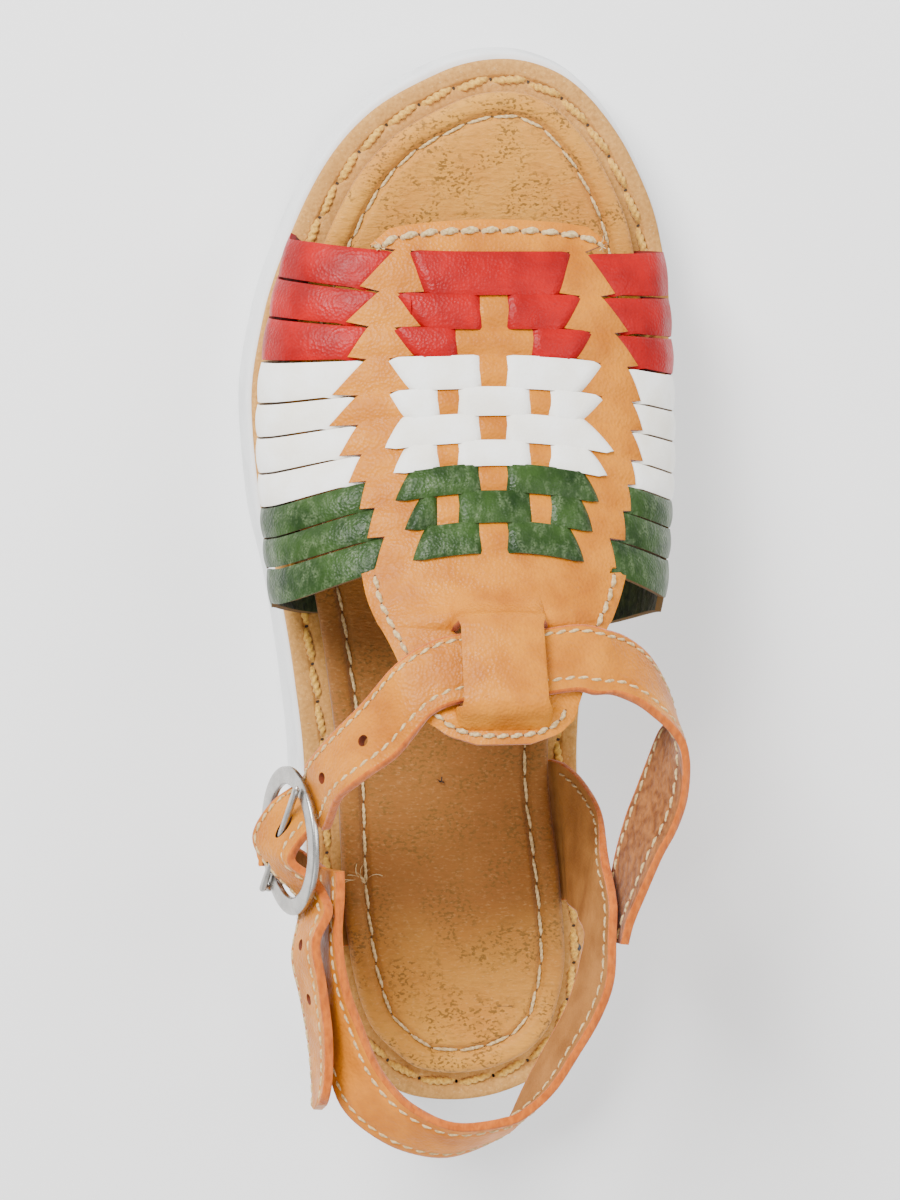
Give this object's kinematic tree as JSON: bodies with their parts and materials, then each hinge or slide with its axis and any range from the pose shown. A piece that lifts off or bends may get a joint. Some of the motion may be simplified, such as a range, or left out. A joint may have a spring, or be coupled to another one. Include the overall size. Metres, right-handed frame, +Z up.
{
  "type": "huarache sandal",
  "caption": "Left leather huarache sandal with a woven strap vamp, slotted tab, buckled ankle strap, open toe and heel, and a low wedge sole.",
  "frame": {"origin": "on the floor under the flat tread, half way along the sole and on the sole's long axis", "axes": "+Z up, +Y along the sole towards the toe, +X towards the inner side of the foot"},
  "size_m": [0.106, 0.2589, 0.0946],
  "materials": {
    "rubber": "matt white foam rubber",
    "welt": "matt stitched midsole board",
    "lining": "soft padded lining",
    "leather": "vegetable tanned, slightly glossy",
    "nickel": "satin nickel plate"
  },
  "bodies": {
    "root": {"outsole": "rubber", "midsole": "welt", "footbed": "lining", "woven_upper": "leather", "ankle_strap": "leather", "heel_quarter": "leather", "buckle_frame": "nickel", "buckle_prong": "nickel"}
  },
  "joints": []
}
